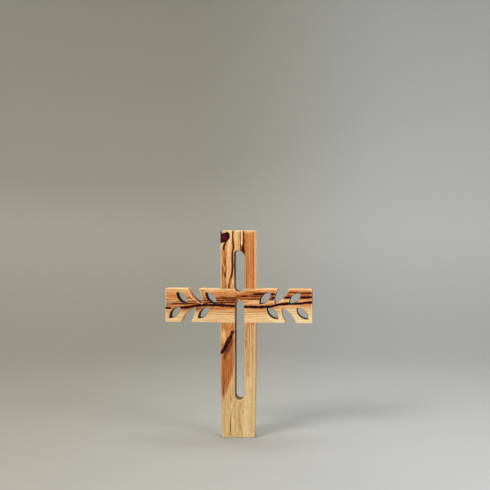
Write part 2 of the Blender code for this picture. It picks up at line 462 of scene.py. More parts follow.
def crossbar_space():
    """What the crossbar takes of the crossing: both arms, and the front half between them."""
    far = HALF_SPAN + CUTTER_OVERRUN
    reach = HALF_WIDTH - HALF_JOINT_GAP
    section = [
        (-far, -CUTTER_OVERRUN),
        (far, -CUTTER_OVERRUN),
        (far, CUTTER_OVERRUN),
        (reach, CUTTER_OVERRUN),
        (reach, HALF_JOINT_GAP),
        (-reach, HALF_JOINT_GAP),
        (-reach, CUTTER_OVERRUN),
        (-far, CUTTER_OVERRUN),
    ]
    low = CROSSBAR_UNDERSIDE - HALF_JOINT_GAP
    high = CROSSBAR_TOP + HALF_JOINT_GAP
    return prism("crossbar_space", section, "Z", low, high)


def sawn_piece(name, uncut, cutter, material):
    """One board of the cross: the whole outline less the space of the other board.

    The cut leaves some very short edges, which are merged so that the mesh stays closed.
    """
    whole = bpy.data.objects.new(name + "_whole", uncut)
    bpy.context.scene.collection.objects.link(whole)
    cut = whole.modifiers.new("halving", "BOOLEAN")
    cut.operation = "DIFFERENCE"
    cut.solver = "EXACT"
    cut.object = cutter
    seen = whole.evaluated_get(bpy.context.evaluated_depsgraph_get())
    data = bpy.data.meshes.new_from_object(seen)
    data.name = name
    mesh = bmesh.new()
    mesh.from_mesh(data)
    bmesh.ops.remove_doubles(mesh, verts=mesh.verts, dist=SHORTEST_EDGE)
    mesh.to_mesh(data)
    mesh.free()
    data.shade_smooth()
    data.set_sharp_from_angle(angle=SMOOTH_ANGLE)
    data.materials.clear()
    data.materials.append(material)
    bpy.data.objects.remove(whole, do_unlink=True)
    bpy.data.objects.remove(cutter, do_unlink=True)
    piece = bpy.data.objects.new(name, data)
    bpy.context.scene.collection.objects.link(piece)
    return piece


# Colours, as red, green and blue out of 255


def colour(red, green, blue):
    """The shader's linear colour for one given on the usual screen scale."""
    parts = []
    for part in (red, green, blue):
        share = part / 255
        parts.append(share / 12.92 if share <= 0.04045 else ((share + 0.055) / 1.055) ** 2.4)
    return (*parts, 1.0)


KNOT_BRIGHT = colour(140, 12, 36)
KNOT_RED = colour(56, 2, 10)
NEAR_BLACK = colour(18, 2, 2)
# Pale wood for the flecks, and for the painted highlight on the worn edges
PALE_WOOD_AND_HIGHLIGHT = colour(246, 214, 172)
MAUVE_STAIN = colour(176, 96, 104)
BLEACHED_WOOD = colour(172, 158, 130)
# Darkening of the sawn walls: partly scorch, partly painted shade inside the openings
SCORCH_AND_PAINTED_SHADE = colour(104, 66, 44)

# The wood's own colours from pale to dark, for its warm and for its olive parts

WARM_TONES = (
    (0.00, colour(250, 220, 174)),
    (0.18, colour(237, 187, 131)),
    (0.36, colour(215, 148, 87)),
    (0.52, colour(194, 112, 50)),
    (0.66, colour(160, 76, 28)),
    (0.80, colour(104, 34, 10)),
    (0.92, colour(62, 8, 3)),
    (1.00, colour(32, 1, 0)),
)
OLIVE_TONES = (
    (0.00, colour(246, 222, 172)),
    (0.20, colour(223, 194, 141)),
    (0.40, colour(199, 164, 107)),
    (0.58, colour(168, 124, 72)),
    (0.75, colour(118, 74, 36)),
    (1.00, colour(36, 14, 6)),
)

# Noises of the wood, as the values that Board.streaks takes

GROWTH = (0.16, 0.006, 2.0, 0.45, 51.0)
RIM_PATCHES = (0.2, 0.03, 2.0, 0.5, 71.0)
THREADS = (0.9, 0.025, 3.0, 0.65, 23.0)
MOTTLE = (0.75, 0.22, 2.0, 0.6, 29.0)
FIBRES = (3.4, 0.09, 3.0, 0.6, 11.0)
PORES = (4.5, 0.45, 1.0, 0.5, 37.0)
FLECKS = (1.6, 0.55, 1.0, 0.5, 43.0, 0.25)
BLEACHED_VEINS = (0.8, 0.04, 2.0, 0.5, 61.0)
KNOT_WAVES = (0.36, 0.36, 1.0, 0.45, 91.0)
KNOT_CLOUDS = (0.7, 0.7, 3.0, 0.7, 97.0)
LINE_SWELL = (0.05, 0.16, 2.0, 0.6)
BEND_DETAIL = (2.0, 0.5)
NOISE_MIDDLE = 0.5
DEPTH_WAVES_SHARE = 0.6

# Growth of the tree as changes of tone: a spread is two values of a noise and what they become

GROWTH_BANDS = 14.0
BAND_SPREAD = (0.0, 0.93, -0.13, 0.13)
BAND_RIM_PLACE = 0.90
BAND_RIM_REACH = 0.09
BAND_RIM_TONE = 0.26
RIM_PATCHES_FROM = (0.38, 0.62)
THREAD_SPREAD = (0.25, 0.75, -0.26, 0.26)
MOTTLE_SPREAD = (0.25, 0.75, -0.12, 0.12)
END_GRAIN_CALM = 0.6

# Lines and patches of the figure: where a line stops being full and ends, and how soft they are

LINE_CORE = 0.28
LINE_END = 0.85
LINE_SWELL_SPREAD = (0.3, 0.7, 0.7, 1.3)
LINE_TILT = 0.3
LINE_FADE = 2.0
PATCH_SOFTNESS = 0.5
STAIN_STRENGTH = 0.8
CURVE_MARGIN = 1.1

# Surface of the wood: shades of its fibres, pores, flecks, edges and ends

FIBRE_SHADES = (0.28, 0.72, 0.83, 1.06)
PORES_FROM = (0.62, 0.72)
PORE_SHADE = -0.35
FLECKS_FROM = (0.63, 0.74)
FLECK_STRENGTH = 0.30
PALE_FROM = (0.02, 0.20)
# How strongly the edges are painted paler, as wear and painted highlight, on dark and on pale wood
WEAR_AND_HIGHLIGHT_ON_DARK = 0.05
WEAR_AND_HIGHLIGHT_ON_PALE = 0.90
END_GRAIN_FROM = (0.6, 0.95)
END_GRAIN_SHADE = -0.12
SHEEN_LEVEL = 0.12
FIBRE_ROUGHNESS = (0.3, 0.7, 0.42, 0.52)
PORE_ROUGHNESS = 0.12
WALL_ROUGHNESS = 0.18
END_GRAIN_ROUGHNESS = 0.10
FIBRE_HEIGHT = 0.5
PORE_HEIGHT = -0.8
BUMP_STRENGTH = 0.3
BUMP_DISTANCE = 0.00012

MILLIMETRES = 1000.0


class Nodes:
    """Short calls that add shader nodes to one material and give back their outputs."""

    def __init__(self, material):
        self.tree = material.node_tree

    def add(self, kind, **settings):
        """A new node of a kind, with its settings."""
        node = self.tree.nodes.new(kind)
        for name, value in settings.items():
            setattr(node, name, value)
        return node

    def feed(self, socket, value):
        """Links another node's output to a socket, or sets the socket to a plain value."""
        if isinstance(value, bpy.types.NodeSocket):
            self.tree.links.new(value, socket)
        else:
            socket.default_value = value

    def math(self, operation, first, second=0.0, third=0.0):
        """One sum on up to three values."""
        node = self.add("ShaderNodeMath", operation=operation)
        for socket, value in zip(node.inputs, (first, second, third)):
            self.feed(socket, value)
        return node.outputs[0]

    def both(self, *shares):
        """The shares multiplied together."""
        result = shares[0]
        for share in shares[1:]:
            result = self.math("MULTIPLY", result, share)
        return result

    def change(self, value, low, high, at_low, at_high, kind):
        """A change of the named kind from one value to another, held beyond both places."""
        node = self.add("ShaderNodeMapRange", interpolation_type=kind, clamp=True)
        for name, given in (
            ("Value", value), ("From Min", low), ("From Max", high),
            ("To Min", at_low), ("To Max", at_high),
        ):
            self.feed(node.inputs[name], given)
        return node.outputs["Result"]

    def step(self, value, low, high, at_low=0.0, at_high=1.0):
        """A smooth change from one value to another between two places."""
        return self.change(value, low, high, at_low, at_high, "SMOOTHSTEP")

    def spread(self, value, low, high, at_low=0.0, at_high=1.0):
        """A straight change from one value to another between two places."""
        return self.change(value, low, high, at_low, at_high, "LINEAR")

    def vector(self, x, y, z):
        """Three values as one vector."""
        node = self.add("ShaderNodeCombineXYZ")
        for socket, value in zip(node.inputs, (x, y, z)):
            self.feed(socket, value)
        return node.outputs[0]

    def noise(self, place, detail, roughness):
        """Soft noise at a place, mostly between 0.3 and 0.7."""
        node = self.add("ShaderNodeTexNoise")
        self.feed(node.inputs["Vector"], place)
        self.feed(node.inputs["Scale"], 1.0)
        self.feed(node.inputs["Detail"], detail)
        self.feed(node.inputs["Roughness"], roughness)
        return node.outputs["Fac"]

    def mix(self, share, first, second, blend="MIX"):
        """A colour with a share of a second one laid over it."""
        node = self.add("ShaderNodeMix", data_type="RGBA", blend_type=blend)
        self.feed(node.inputs["Factor"], share)
        first_colour, second_colour = [one for one in node.inputs if one.type == "RGBA"]
        self.feed(first_colour, first)
        self.feed(second_colour, second)
        return next(one for one in node.outputs if one.type == "RGBA")

    def shaded(self, figure, shade):
        """The colour made lighter or darker by a factor."""
        return self.tinted(figure, self.vector(shade, shade, shade))

    def tinted(self, figure, tint):
        """The colour multiplied by another."""
        return self.mix(1.0, figure, tint, "MULTIPLY")

    def ramp(self, value, stops):
        """Colours at places along a value. The places run from 0 to 1."""
        node = self.add("ShaderNodeValToRGB")
        node.color_ramp.interpolation = "EASE"
        elements = node.color_ramp.elements
        while len(elements) > 1:
            elements.remove(elements[-1])
        elements[0].position, elements[0].color = stops[0]
        for place, shade in stops[1:]:
            elements.new(place).color = shade
        self.feed(node.inputs["Fac"], value)
        return node.outputs["Color"]

    def curve(self, value, points):
        """A smooth curve through points whose two values both run from 0 to 1."""
        node = self.add("ShaderNodeFloatCurve")
        line = node.mapping.curves[0]
        line.points[0].location = points[0]
        line.points[1].location = points[-1]
        for point in points[1:-1]:
            line.points.new(*point)
        node.mapping.update()
        self.feed(node.inputs["Value"], value)
        return node.outputs["Value"]


class Board:
    """Places in one board's wood in millimetres: along, across and behind the front face."""

    def __init__(self, nodes, along_axis, across_axis, across_middle, seed):
        self.nodes = nodes
        place = nodes.add("ShaderNodeTexCoord")
        split = nodes.add("ShaderNodeSeparateXYZ")
        nodes.feed(split.inputs[0], place.outputs["Object"])
        axes = dict(zip("XYZ", split.outputs))
        facing = nodes.add("ShaderNodeSeparateXYZ")
        nodes.feed(facing.inputs[0], place.outputs["Normal"])
        facing_along = nodes.math("ABSOLUTE", dict(zip("XYZ", facing.outputs))[along_axis])
        self.end_grain = nodes.step(facing_along, *END_GRAIN_FROM)
        self.along = nodes.math("MULTIPLY", axes[along_axis], MILLIMETRES)
        middle = nodes.math("SUBTRACT", axes[across_axis], across_middle)
        self.across = nodes.math("MULTIPLY", middle, MILLIMETRES)
        self.depth = nodes.math("MULTIPLY_ADD", axes["Y"], MILLIMETRES, HALF_THICKNESS * MILLIMETRES)
        self.seed = seed

    def streaks(self, across_scale, along_scale, detail, roughness, shift, lean=0.0):
        """Noise drawn out along the grain. Its scales are waves a millimetre.

        The shift keeps the noises apart from each other, and the lean slants one to the grain.
        """
        nodes = self.nodes
        across = nodes.math("MULTIPLY_ADD", self.along, lean, self.across)
        place = nodes.vector(
            nodes.math("MULTIPLY_ADD", across, across_scale, self.seed + shift),
            nodes.math("MULTIPLY", self.depth, across_scale * DEPTH_WAVES_SHARE),
            nodes.math("MULTIPLY", self.along, along_scale),
        )
        return nodes.noise(place, detail, roughness)

    def warped(self, size, across_scale, along_scale, shift):
        """The place across the board with the grain bent by up to about half the size."""
        nodes = self.nodes
        waves = self.streaks(across_scale, along_scale, *BEND_DETAIL, shift)
        bend = nodes.math("SUBTRACT", waves, NOISE_MIDDLE)
        return nodes.math("MULTIPLY_ADD", bend, size, self.across)

    def course(self, points):
        """A smooth line through points: the second of each pair at places along the board."""
        nodes = self.nodes
        first, last = points[0][0], points[-1][0]
        reach = 2 * CURVE_MARGIN * max(abs(across) for _, across in points)
        scaled = [
            ((along - first) / (last - first), 0.5 + across / reach) for along, across in points
        ]
        centre = nodes.curve(nodes.spread(self.along, first, last), scaled)
        return nodes.math("MULTIPLY", nodes.math("SUBTRACT", centre, 0.5), reach)

    def between(self, low, high, fade):
        """How far a place lies between two places along the board."""
        nodes = self.nodes
        starts = nodes.step(self.along, low - fade, low + fade)
        ends = nodes.step(self.along, high - fade, high + fade, 1.0, 0.0)
        return nodes.both(starts, ends)

    def line(self, points, width, tilt=LINE_TILT, fade=LINE_FADE):
        """How much of a line of the figure covers each place. Its rims are soft.

        It moves across by the tilt as it goes deeper, and fades out at both ends.
        """
        nodes = self.nodes
        centre = nodes.math("MULTIPLY_ADD", self.depth, tilt, self.course(points))
        away = nodes.math("ABSOLUTE", nodes.math("SUBTRACT", self.across, centre))
        swell = self.streaks(*LINE_SWELL, width + points[0][0])
        away = nodes.math("DIVIDE", away, nodes.spread(swell, *LINE_SWELL_SPREAD))
        cover = nodes.step(away, width * LINE_CORE, width * LINE_END, 1.0, 0.0)
        return nodes.both(cover, self.between(points[0][0], points[-1][0], fade))

    def distance(self, along, across, half_length, half_width, lean=0.0):
        """Distance from a place, counted as 1 at the rim of an ellipse round it. It may lean."""
        nodes = self.nodes
        beside = nodes.math("SUBTRACT", self.across, across)
        above = nodes.math("MULTIPLY_ADD", beside, -lean, nodes.math("SUBTRACT", self.along, along))
        first = nodes.math("DIVIDE", above, half_length)
        second = nodes.math("DIVIDE", beside, half_width)
        squared = nodes.math("MULTIPLY_ADD", first, first, nodes.both(second, second))
        return nodes.math("SQRT", squared)

    def patch(self, along, across, half_length, half_width, softness=PATCH_SOFTNESS):
        """A rounded patch round a place, full in its middle."""
        away = self.distance(along, across, half_length, half_width)
        return self.nodes.step(away, 1 - softness, 1 + softness, 1.0, 0.0)


def wood_material(name):
    """A new material for wood with a low sheen, and its shader."""
    material = bpy.data.materials.new(name)
    material.use_nodes = True
    shader = material.node_tree.nodes["Principled BSDF"]
    shader.inputs["Metallic"].default_value = 0.0
    shader.inputs["Specular IOR Level"].default_value = SHEEN_LEVEL
    return material, shader


def grown(board, tone, strength):
    """Adds the growth of the tree to a tone: broad bands, lines at their rims, threads, mottle."""
    nodes = board.nodes
    phase = nodes.math("FRACT", nodes.both(board.streaks(*GROWTH), GROWTH_BANDS))
    bands = nodes.spread(phase, *BAND_SPREAD)
    from_rim = nodes.math("ABSOLUTE", nodes.math("SUBTRACT", phase, BAND_RIM_PLACE))
    rim = nodes.step(from_rim, 0.0, BAND_RIM_REACH, 1.0, 0.0)
    patchy = nodes.step(board.streaks(*RIM_PATCHES), *RIM_PATCHES_FROM)
    threads = nodes.spread(board.streaks(*THREADS), *THREAD_SPREAD)
    mottle = nodes.spread(board.streaks(*MOTTLE), *MOTTLE_SPREAD)
    added = nodes.math("MULTIPLY_ADD", nodes.both(rim, patchy), BAND_RIM_TONE, bands)
    added = nodes.math("ADD", nodes.math("ADD", added, threads), mottle)
    calm = nodes.math("MULTIPLY_ADD", board.end_grain, -END_GRAIN_CALM, 1.0)
    return nodes.math("MULTIPLY_ADD", added, nodes.both(strength, calm), tone)


def drawn(board, tone, lines):
    """Adds lines to a tone. Each is what it adds, its width, its points, and what else it says."""
    nodes = board.nodes
    for added, width, points, more in lines:
        tone = nodes.math("MULTIPLY_ADD", board.line(points, width, **more), added, tone)
    return tone


def patched(board, tone, patches):
    """Adds patches to a tone. Each is what it adds, its place, and its half length and width."""
    nodes = board.nodes
    for added, along, across, half_length, half_width in patches:
        cover = board.patch(along, across, half_length, half_width)
        tone = nodes.math("MULTIPLY_ADD", cover, added, tone)
    return tone


def toned(nodes, tone, warmth):
    """The wood's colour for a tone, between its olive and its warm parts."""
    return nodes.mix(warmth, nodes.ramp(tone, OLIVE_TONES), nodes.ramp(tone, WARM_TONES))


def stained(board, figure, place):
    """The figured colour with a mauve stain over a patch of the board."""
    nodes = board.nodes
    cover = nodes.both(board.patch(*place), STAIN_STRENGTH)
    return nodes.mix(cover, figure, nodes.tinted(figure, MAUVE_STAIN))


def finish_wood(board, shader, figure):
    """Adds to the figured colour what all the wood has: fibres, pores, edges, walls and sheen."""
    nodes = board.nodes
    fibres = board.streaks(*FIBRES)
    figure = nodes.shaded(figure, nodes.spread(fibres, *FIBRE_SHADES))
    pores = nodes.step(board.streaks(*PORES), *PORES_FROM)
    figure = nodes.shaded(figure, nodes.math("MULTIPLY_ADD", pores, PORE_SHADE, 1.0))
    bright = nodes.add("ShaderNodeRGBToBW")
    nodes.feed(bright.inputs[0], figure)
    pale = nodes.spread(bright.outputs[0], *PALE_FROM)
    flecks = nodes.step(board.streaks(*FLECKS), *FLECKS_FROM)
    figure = nodes.mix(nodes.both(flecks, pale, FLECK_STRENGTH), figure, PALE_WOOD_AND_HIGHLIGHT)

    edge = nodes.add("ShaderNodeAttribute", attribute_name=WORN_AND_HIGHLIT_EDGE).outputs["Fac"]
    wall = nodes.add("ShaderNodeAttribute", attribute_name=SAWN_WALL).outputs["Fac"]
    # Rounded edges painted paler: partly wear, partly a painted highlight where the edges catch
    # light
    worn_and_highlit = nodes.spread(pale, 0.0, 1.0, WEAR_AND_HIGHLIGHT_ON_DARK, WEAR_AND_HIGHLIGHT_ON_PALE)
    figure = nodes.mix(nodes.both(edge, worn_and_highlit), figure, PALE_WOOD_AND_HIGHLIGHT)
    end_shade = nodes.math("MULTIPLY_ADD", board.end_grain, END_GRAIN_SHADE, 1.0)
    figure = nodes.shaded(figure, end_shade)
    # Sawn walls darkened: partly scorch, partly painted shade inside the openings, darkest in the
    # leaves
    figure = nodes.mix(wall, figure, nodes.tinted(figure, SCORCH_AND_PAINTED_SHADE))
    nodes.feed(shader.inputs["Base Color"], figure)

    rough = nodes.spread(fibres, *FIBRE_ROUGHNESS)
    rough = nodes.math("MULTIPLY_ADD", pores, PORE_ROUGHNESS, rough)
    rough = nodes.math("MULTIPLY_ADD", wall, WALL_ROUGHNESS, rough)
    rough = nodes.math("MULTIPLY_ADD", board.end_grain, END_GRAIN_ROUGHNESS, rough)
    nodes.feed(shader.inputs["Roughness"], rough)

    height = nodes.math("MULTIPLY_ADD", fibres, FIBRE_HEIGHT, nodes.both(pores, PORE_HEIGHT))
    bump = nodes.add("ShaderNodeBump")
    bump.inputs["Strength"].default_value = BUMP_STRENGTH
    bump.inputs["Distance"].default_value = BUMP_DISTANCE
    nodes.feed(bump.inputs["Height"], height)
    nodes.feed(shader.inputs["Normal"], bump.outputs["Normal"])


# The crossbar's figure: places are along X, and across from the middle of the board, in mm

CROSSBAR_TONES = (
    (-16.8, 0.14),
    (-9.0, 0.18),
    (-5.8, 0.23),
    (-4.0, 0.34),
    (-2.0, 0.46),
    (1.0, 0.42),
    (5.0, 0.50),
    (8.5, 0.50),
    # Painted highlight: from here up the tone lightens over the top few millimetres, where the top
    # edge catches light
    (12.0, 0.42),
    (14.0, 0.32),
    (16.8, 0.22),
)

CROSSBAR_LINES = (
    (0.34, 1.2, ((-73, 0.6), (-47, 2.0), (-20, 3.0), (10, 3.4)), {}),
    (0.34, 0.9, ((-60, 3.4), (-45, 3.9), (-20, 5.0), (0, 5.2)), {}),
    (0.30, 0.8, ((-70, 7.8), (-45, 7.4), (-20, 7.0), (0, 6.6)), {}),
    (0.36, 1.1, ((-17, 8.6), (2, 8.6), (9, 9.3)), {}),
    (0.24, 0.8, ((-2, 10.0), (10, 9.6), (30, 9.0)), {}),
    (0.56, 1.3, ((15, 11.4), (29, 11.4), (44, 11.0)), {}),
    (0.46, 0.9, ((2, 6.2), (28, 6.5), (40, 6.0)), {}),
    (0.30, 0.7, ((8, 13.6), (30, 13.4)), {}),
    (0.40, 0.9, ((40, 13.2), (56, 12.8), (74, 13.0)), {}),
    (0.60, 1.7, ((34, 7.6), (50, 8.4), (62, 8.2), (74, 8.8)), {}),
    (-0.26, 3.2, ((2, 3.4), (28, 4.0), (44, 5.0), (74, 6.2)), {}),
    (0.22, 0.8, ((-74, -6.2), (-40, -5.6), (-10, -6.6), (30, -5.8), (74, -4.4)), {}),
    (0.18, 0.6, ((-74, -8.3), (-40, -7.6), (-10, -8.5), (30, -7.8), (74, -6.6)), {}),
    (0.88, 2.0, (
        (-60, -2.8), (-47, -1.2), (-32, 0.4), (-10, 0.2), (5, -0.9), (28, -0.9),
        (40, 1.5), (52, 2.4), (61, 2.6), (66, 3.5), (74, 3.6),
    ), {"fade": 4.0}),
    (0.85, 1.8, ((-74, -2.7), (-67, -2.8)), {}),
)

CROSSBAR_PATCHES = (
    (-0.10, 60.0, -12.0, 30.0, 7.0),
    (-0.22, 58.0, -2.4, 24.0, 3.2),
    (0.14, 48.0, 11.5, 36.0, 5.0),
    (-0.10, -56.0, 8.5, 22.0, 5.0),
    (0.26, 73.2, 8.0, 1.4, 5.5),
)

CROSSBAR_STAIN = (-45.0, -3.4, 17.0, 1.6)
BLEACHED_END = (-69.8, 2.4, 4.4, 2.6, 0.8)
BLEACHED_STRENGTH = 0.8
BLEACHED_VEINS_FROM = (0.36, 0.58)

# How the crossbar's grain bends, and its growth and warmth as spreads of its tone

CROSSBAR_FINE_BEND = (0.9, 0.30, 0.09, 7.0)
CROSSBAR_BROAD_BEND = (2.6, 0.05, 0.018, 3.0)
CROSSBAR_GROWTH = (0.1, 0.5, 0.35, 1.0)
CROSSBAR_WARMTH = (0.1, 0.3, 0.55, 1.0)
CROSSBAR_SEED = 5.0


def crossbar_material():
    """Wood that is brown above a near-black line and cream below it."""
    material, shader = wood_material("crossbar_olive_wood")
    nodes = Nodes(material)
    board = Board(nodes, "X", "Z", CROSSBAR_MIDDLE, CROSSBAR_SEED)
    board.across = board.warped(*CROSSBAR_FINE_BEND)
    low, high = CROSSBAR_TONES[0][0], CROSSBAR_TONES[-1][0]
    shape = [((place - low) / (high - low), level) for place, level in CROSSBAR_TONES]
    level = nodes.curve(nodes.spread(board.across, low, high), shape)
    level = patched(board, level, CROSSBAR_PATCHES)
    lined = drawn(board, level, CROSSBAR_LINES)
    board.across = board.warped(*CROSSBAR_BROAD_BEND)
    tone = grown(board, lined, nodes.spread(level, *CROSSBAR_GROWTH))
    figure = toned(nodes, tone, nodes.spread(level, *CROSSBAR_WARMTH))
    figure = stained(board, figure, CROSSBAR_STAIN)
    veins = nodes.step(board.streaks(*BLEACHED_VEINS), *BLEACHED_VEINS_FROM)
    bleached = nodes.both(board.patch(*BLEACHED_END), veins, BLEACHED_STRENGTH)
    figure = nodes.mix(bleached, figure, BLEACHED_WOOD)
    finish_wood(board, shader, figure)
    return material


# The upright's figure: places are along Z, and across from its middle line, in mm

UPRIGHT_LEFT_TONES = (
    (0, 0.30), (30, 0.33), (42, 0.50), (56, 0.57), (70, 0.56), (84, 0.53), (100, 0.48),
    (112, 0.46), (120, 0.40), (150, 0.42), (175, 0.42), (203, 0.30),
)
UPRIGHT_MIDDLE_TONES = ((0, 0.24), (36, 0.28), (146, 0.25), (203, 0.18))
UPRIGHT_RIGHT_TONES = (
    (0, 0.20), (30, 0.24), (70, 0.33), (112, 0.39), (125, 0.44), (140, 0.50), (203, 0.50),
)
UPRIGHT_LEFT_WARMTH = (
    (0, 0.45), (34, 0.50), (52, 0.78), (84, 0.70), (118, 0.88), (140, 0.75), (203, 0.9),
)
UPRIGHT_MIDDLE_WARMTH = (36, 146, 0.2, 0.8)
UPRIGHT_RIGHT_WARMTH = ((0, 0.20), (60, 0.30), (112, 0.60), (135, 1.0), (203, 1.0))

LEFT_STRIP_END = ((0, -15.0), (37, -13.0), (48, -9.8), (61, -5.8), (74, -3.4), (203, -3.4))
LEFT_STRIP_BLUR = 1.5
RIGHT_STRIP_START = (4.6, 6.4)

UPRIGHT_LINES = (
    (0.24, 0.9, ((180, 1.1), (202, 1.0)), {}),
    (0.45, 0.8, ((182, 2.6), (203, 2.5)), {}),
    (-0.25, 0.8, ((184, 3.7), (203, 3.7)), {}),
    (0.60, 1.4, ((184, 5.2), (191, 5.5), (204, 5.2)), {}),
    (0.70, 2.8, ((178, 5.0), (184, 4.5), (188.7, 4.1)), {}),
    (0.48, 1.3, (
        (142, -10.4), (145.5, -9.0), (154.6, -7.9), (159, -6.3), (167, -5.4),
        (180.8, -5.5), (186.7, -4.4), (194.4, -5.1), (204, -4.6),
    ), {}),
    (0.24, 0.6, ((151, -6.6), (165, -4.7), (181, -4.4)), {}),
    (-0.20, 3.6, ((150, -10.4), (165, -9.0), (185, -8.6), (203, -7.2)), {}),
    (-0.22, 1.2, ((146, -6.4), (156, -5.2)), {}),
    (0.60, 1.7, ((184, -14.0), (188.4, -13.4), (193, -11.4)), {}),
    (-0.35, 1.2, ((186, -16.8), (189, -15.6), (191.5, -12.4)), {}),
    (0.28, 1.6, ((157, -12.8), (168, -15.2)), {}),
    (0.24, 1.3, ((157, -12.8), (168, -11.0)), {}),
    (0.34, 1.0, ((88, -14.2), (98, -9.8)), {}),
    (0.46, 2.9, (
        (82, -16.4), (86, -14.0), (91.4, -10.7), (97, -8.0), (104.5, -4.8),
    ), {"fade": 1.0}),
    (0.18, 4.0, ((76, -13.0), (86, -10.2), (91.4, -7.2), (97, -5.0)), {"fade": 4.0}),
    (0.20, 1.0, ((-2, -8.2), (3.4, -7.8), (17, -6.8), (33, -3.8)), {}),
    (0.16, 0.9, ((10, 0.8), (17, 1.1), (35, 2.6)), {}),
    (-0.10, 5.0, ((-2, 8.5), (20, 8.5), (40, 10.0), (60, 11.0)), {}),
    (-0.08, 4.5, ((122, 11.8), (160, 12.4), (204, 12.0)), {}),
)

UPRIGHT_PATCHES = (
    (-0.30, 99.0, -13.8, 6.5, 2.2),
    (0.14, 179.0, -13.6, 4.6, 2.6),
    (0.24, 171.5, -13.0, 3.8, 1.8),
    # Painted highlight: a pale band along the top edge of the right strip, where the rounded top
    # catches light
    (-0.16, 203.5, 9.5, 3.4, 9.0),
    (0.30, 111.7, 14.9, 1.4, 0.9),
    # Painted highlight: the right edge of the upper upright painted paler, where its side and round
    # catch light
    (-0.34, 170.0, 17.9, 60.0, 1.1),
)

UPRIGHT_STAIN = (87.0, -11.6, 4.0, 1.6)

# How the upright's grain bends, how strongly its growth shows, and where that is calmer

UPRIGHT_FINE_BEND = (0.9, 0.30, 0.07, 7.0)
UPRIGHT_BROAD_BEND = (1.8, 0.05, 0.015, 3.0)
UPRIGHT_GROWTH = 0.75
CALM_GROWTH = -0.4
CALM_HIGH_RIGHT = (118, 140)
CALM_LOW_LEFT = (50, 100, 12)
UPRIGHT_SEED = 2.0

# The knot: its ellipse, its colours, and its black stain down the board's left edge, in mm

KNOT_PLACE = (196.2, -13.0)
KNOT_HALF_SIZE = (4.7, 5.1)
KNOT_LEAN = 0.3
KNOT_UNEVENNESS = 0.75
KNOT_END = (1.10, 0.94)
KNOT_BLACK_RIM = (0.46, 0.80)
KNOT_BRIGHT_SIDE = (-9.5, -12.0)
KNOT_HEART = (
    (0.38, NEAR_BLACK), (0.48, KNOT_RED), (0.55, KNOT_BRIGHT), (0.60, KNOT_RED), (0.66, NEAR_BLACK),
)
EDGE_STAIN_ACROSS = (-15.6, -16.4)
EDGE_STAIN_ALONG = (190, 206, 1.2)
EDGE_STAIN_DEPTH = (0.5, 4.5, 1.0, 0.0)
EDGE_STAIN_UNEVENNESS = 5.0


def upright_material():
    """Three strips of wood: dark at the left, pale in the middle and olive to warm at the right."""
    material, shader = wood_material("upright_olive_wood")
    nodes = Nodes(material)
    board = Board(nodes, "Z", "X", 0.0, UPRIGHT_SEED)
    board.across = board.warped(*UPRIGHT_FINE_BEND)
    left = nodes.math("SUBTRACT", board.course(LEFT_STRIP_END), board.across)
    left = nodes.step(left, -LEFT_STRIP_BLUR, LEFT_STRIP_BLUR)
    right = nodes.step(board.across, *RIGHT_STRIP_START)

    def blended(in_left, in_middle, in_right):
        """A value that differs between the left strip, the middle and the right strip."""
        to_left = nodes.math("SUBTRACT", in_left, in_middle)
        value = nodes.math("MULTIPLY_ADD", left, to_left, in_middle)
        to_right = nodes.math("SUBTRACT", in_right, value)
        return nodes.math("MULTIPLY_ADD", right, to_right, value)

    level = blended(
        board.course(UPRIGHT_LEFT_TONES),
        board.course(UPRIGHT_MIDDLE_TONES),
        board.course(UPRIGHT_RIGHT_TONES),
    )
    warmth = blended(
        board.course(UPRIGHT_LEFT_WARMTH),
        nodes.step(board.along, *UPRIGHT_MIDDLE_WARMTH),
        board.course(UPRIGHT_RIGHT_WARMTH),
    )
    calm = nodes.math(
        "MAXIMUM",
        nodes.both(right, nodes.step(board.along, *CALM_HIGH_RIGHT)),
        nodes.both(left, board.between(*CALM_LOW_LEFT)),
    )
    lined = drawn(board, patched(board, level, UPRIGHT_PATCHES), UPRIGHT_LINES)
    board.across = board.warped(*UPRIGHT_BROAD_BEND)
    tone = grown(board, lined, nodes.math("MULTIPLY_ADD", calm, CALM_GROWTH, UPRIGHT_GROWTH))
    figure = toned(nodes, tone, warmth)
    figure = stained(board, figure, UPRIGHT_STAIN)
    figure = knotted(board, figure)
    finish_wood(board, shader, figure)
    return material


def knotted(board, figure):
    """A dark red knot with black rims, and a black stain from it along the board's left edge."""
    nodes = board.nodes
    away = board.distance(*KNOT_PLACE, *KNOT_HALF_SIZE, KNOT_LEAN)
    uneven = nodes.math("SUBTRACT", board.streaks(*KNOT_WAVES), NOISE_MIDDLE)
    away = nodes.math("MULTIPLY_ADD", uneven, KNOT_UNEVENNESS, away)
    red = nodes.both(
        nodes.step(board.across, *KNOT_BRIGHT_SIDE),
        nodes.math("SUBTRACT", 1.0, nodes.step(away, *KNOT_BLACK_RIM)),
    )
    heart = nodes.mix(red, NEAR_BLACK, nodes.ramp(board.streaks(*KNOT_CLOUDS), KNOT_HEART))
    figure = nodes.mix(nodes.step(away, *KNOT_END), figure, heart)
    depth = nodes.math("MULTIPLY_ADD", uneven, EDGE_STAIN_UNEVENNESS, board.depth)
    stain = nodes.both(
        nodes.step(board.across, *EDGE_STAIN_ACROSS),
        nodes.step(depth, *EDGE_STAIN_DEPTH),
        board.between(*EDGE_STAIN_ALONG),
    )
    return nodes.mix(stain, figure, NEAR_BLACK)


# Studio

CAMERA_AZIMUTH = math.radians(6.5)
CAMERA_DISTANCE = 0.80
CAMERA_TO_RIGHT = 0.0070
CAMERA_ABOVE_MIDDLE = 0.0872
LENS_MM = 60
SENSOR_MM = 36

STAGE_RADIUS = 1.30
STAGE_COVE_RADIUS = 0.70
STAGE_HEIGHT = 2.0
STAGE_TURNS = 96
STAGE_COVE_STEPS = 16
